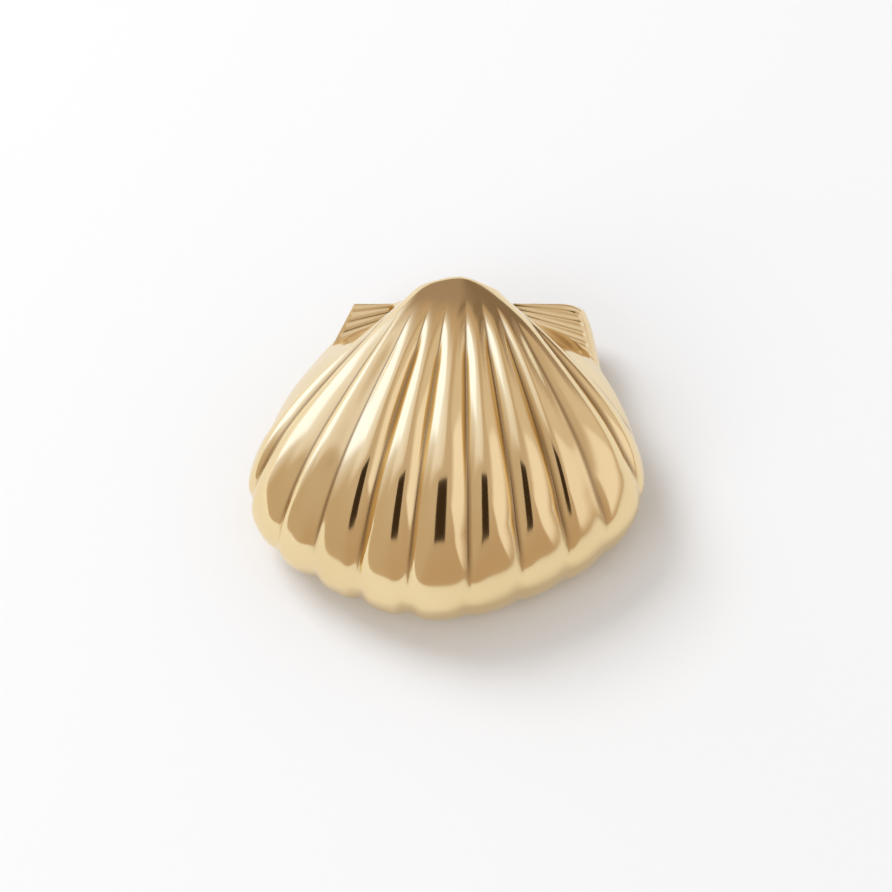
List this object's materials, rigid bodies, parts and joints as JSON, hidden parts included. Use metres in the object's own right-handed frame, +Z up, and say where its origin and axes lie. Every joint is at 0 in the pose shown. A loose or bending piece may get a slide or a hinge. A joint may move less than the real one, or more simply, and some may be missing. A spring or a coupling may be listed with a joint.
{
  "type": "cast metal scallop shell ornament",
  "caption": "Puffed scallop shell cast in polished gold coloured metal, with rounded ribs, a smooth beak and two ridged ears, flat underneath.",
  "frame": {"origin": "under the middle of the bounding box, on the resting face", "axes": "+X across the shell, +Y from the lobed front edge toward the hinge and ears, +Z up out of the resting face"},
  "size_m": [0.06, 0.0556, 0.0249],
  "materials": {
    "polished_gold_tone": "mirror-polished pale yellow gold plating"
  },
  "bodies": {
    "root": {"scallop_shell": "polished_gold_tone"}
  },
  "joints": []
}
